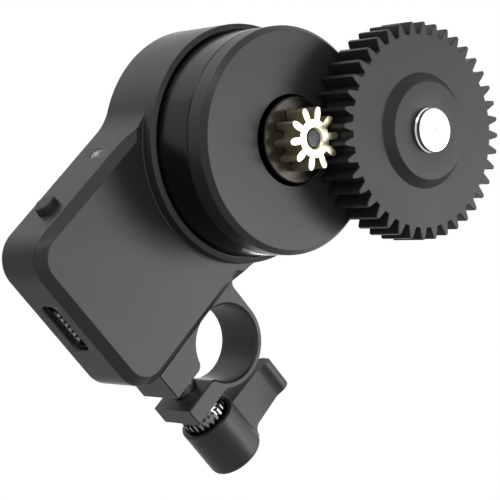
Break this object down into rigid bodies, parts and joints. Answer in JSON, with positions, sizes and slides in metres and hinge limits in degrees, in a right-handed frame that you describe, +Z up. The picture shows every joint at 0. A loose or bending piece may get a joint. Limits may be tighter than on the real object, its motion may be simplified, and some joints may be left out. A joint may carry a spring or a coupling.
{
  "type": "follow focus unit",
  "caption": "Wireless focus motor with a swivelling geared head, a toothed lens gear driven by a pinion, a flat case with charge port and button, and a lever-locked clamp for a rod.",
  "frame": {"origin": "middle of the rod clamp's bore", "axes": "+Z up, +Y from the front, where the lens gear is, to the case's back, along the rod; +X to the clamp lever's side"},
  "size_m": [0.0568, 0.0343, 0.0724],
  "materials": {
    "dark_anodised": "satin black-grey anodised",
    "gear_anodised": "satin black-grey anodised, machined teeth",
    "gloss_black": "gloss black anodised",
    "boss_metal": "brushed dark anodised",
    "pinion_brass": "pale machined brass",
    "bearing_bronze": "sintered bronze",
    "polished_chrome": "mirror chrome",
    "steel": "turned steel",
    "gear_steel": "hobbed steel",
    "black_steel": "black oxide",
    "motor_steel": "zinc-plated",
    "stator_steel": "lacquered laminations",
    "copper_wire": "enamelled copper",
    "magnet": "nickel-plated magnet",
    "gold_contact": "gold-plated",
    "board_green": "solder-masked glass laminate",
    "black_plastic": "moulded",
    "button_plastic": "satin moulded",
    "pale_plastic": "moulded acetal",
    "light_plastic": "clear light pipe",
    "part_ceramic": "chip parts",
    "cell_pouch": "foil pouch",
    "film_amber": "polyimide film"
  },
  "bodies": {
    "case": {"housing": "dark_anodised", "back_cover": "dark_anodised", "back_cover_screws": "black_steel", "circuit_board": "board_green", "radio_module": "steel", "controller_chip": "black_plastic", "board_parts": "part_ceramic", "battery_cell": "cell_pouch", "usb_socket": "steel", "usb_tongue": "black_plastic", "usb_contacts": "gold_contact", "tact_switch": "steel", "light_pipe": "light_plastic", "status_led": "light_plastic", "rod_clamp": "dark_anodised", "clamp_mounting_screws": "black_steel", "stop_pin": "steel", "brush_block": "black_plastic", "brush_pins": "gold_contact", "motor_ribbon": "film_amber"},
    "swivel_head": {"head_barrel": "gloss_black", "front_cap": "dark_anodised", "head_retainer": "steel", "retainer_screws": "black_steel", "friction_washer": "pale_plastic", "slip_ring_board": "board_green", "slip_ring_tracks": "gold_contact", "motor_can": "motor_steel", "motor_end_plate": "motor_steel", "motor_screws": "black_steel", "motor_bearings": "bearing_bronze", "stator_core": "stator_steel", "stator_coils": "copper_wire", "ring_gear": "gear_steel", "bearing_boss": "boss_metal", "boss_screws": "black_steel", "output_bearing_outer": "steel", "gear_axle": "polished_chrome", "thrust_washer": "steel"},
    "lens_gear": {"drive_gear": "gear_anodised", "gear_bush": "bearing_bronze"},
    "gearbox_output": {"planet_carrier": "gear_steel", "output_shaft": "steel", "pinion": "pinion_brass", "planet_pins": "steel", "output_bearing_inner": "steel"},
    "motor_rotor": {"motor_shaft": "steel", "rotor_magnet": "magnet", "sun_gear": "gear_steel"},
    "planet_1": {"planet_gear_1": "pale_plastic"},
    "planet_2": {"planet_gear_2": "pale_plastic"},
    "planet_3": {"planet_gear_3": "pale_plastic"},
    "button": {"power_button": "button_plastic"},
    "clamp_bolt": {"clamp_screw": "steel", "ratchet_insert": "polished_chrome", "lever_screw": "black_steel", "lever_washer": "steel", "lever_spring": "steel"},
    "clamp_lever": {"lever_knob": "dark_anodised"}
  },
  "joints": [
    {"name": "head_swivel", "type": "hinge", "parent": "case", "child": "swivel_head", "pos_m": [-0.0212, -0.008, 0.0225], "axis": [0, -1, 0], "range_deg": [-150, 150]},
    {"name": "lens_gear_spin", "type": "hinge", "parent": "swivel_head", "child": "lens_gear", "pos_m": [-0.00845, -0.0235, 0.03791], "axis": [0, -1, 0], "continuous": true},
    {"name": "output_spin", "type": "hinge", "parent": "swivel_head", "child": "gearbox_output", "pos_m": [-0.0212, -0.008, 0.0225], "axis": [0, -1, 0], "continuous": true},
    {"name": "rotor_spin", "type": "hinge", "parent": "swivel_head", "child": "motor_rotor", "pos_m": [-0.0212, -0.008, 0.0225], "axis": [0, -1, 0], "continuous": true},
    {"name": "planet_1_spin", "type": "hinge", "parent": "gearbox_output", "child": "planet_1", "pos_m": [-0.0137, -0.0104, 0.0225], "axis": [0, -1, 0], "continuous": true},
    {"name": "planet_2_spin", "type": "hinge", "parent": "gearbox_output", "child": "planet_2", "pos_m": [-0.02495, -0.0104, 0.029], "axis": [0, -1, 0], "continuous": true},
    {"name": "planet_3_spin", "type": "hinge", "parent": "gearbox_output", "child": "planet_3", "pos_m": [-0.02495, -0.0104, 0.016], "axis": [0, -1, 0], "continuous": true},
    {"name": "button_press", "type": "slide", "parent": "case", "child": "button", "axis": [1, 0, 0], "range_m": [0, 0.0005], "stiffness_N_per_m": 2000, "springref_m": -0.0005},
    {"name": "clamp_screw_turn", "type": "hinge", "parent": "case", "child": "clamp_bolt", "pos_m": [0.008, 0.00065, -0.0084], "axis": [1, 0, 0], "range_deg": [0, 180]},
    {"name": "lever_lift", "type": "slide", "parent": "clamp_bolt", "child": "clamp_lever", "axis": [1, 0, 0], "range_m": [0, 0.0018], "stiffness_N_per_m": 400, "springref_m": -0.002, "deforming": ["lever_spring"]}
  ],
  "couplings": [
    {"joint": "output_spin", "follows": "rotor_spin", "ratio": 0.2},
    {"joint": "lens_gear_spin", "follows": "rotor_spin", "ratio": -0.05},
    {"joint": "planet_1_spin", "follows": "rotor_spin", "ratio": -0.53333},
    {"joint": "planet_2_spin", "follows": "rotor_spin", "ratio": -0.53333},
    {"joint": "planet_3_spin", "follows": "rotor_spin", "ratio": -0.53333}
  ]
}
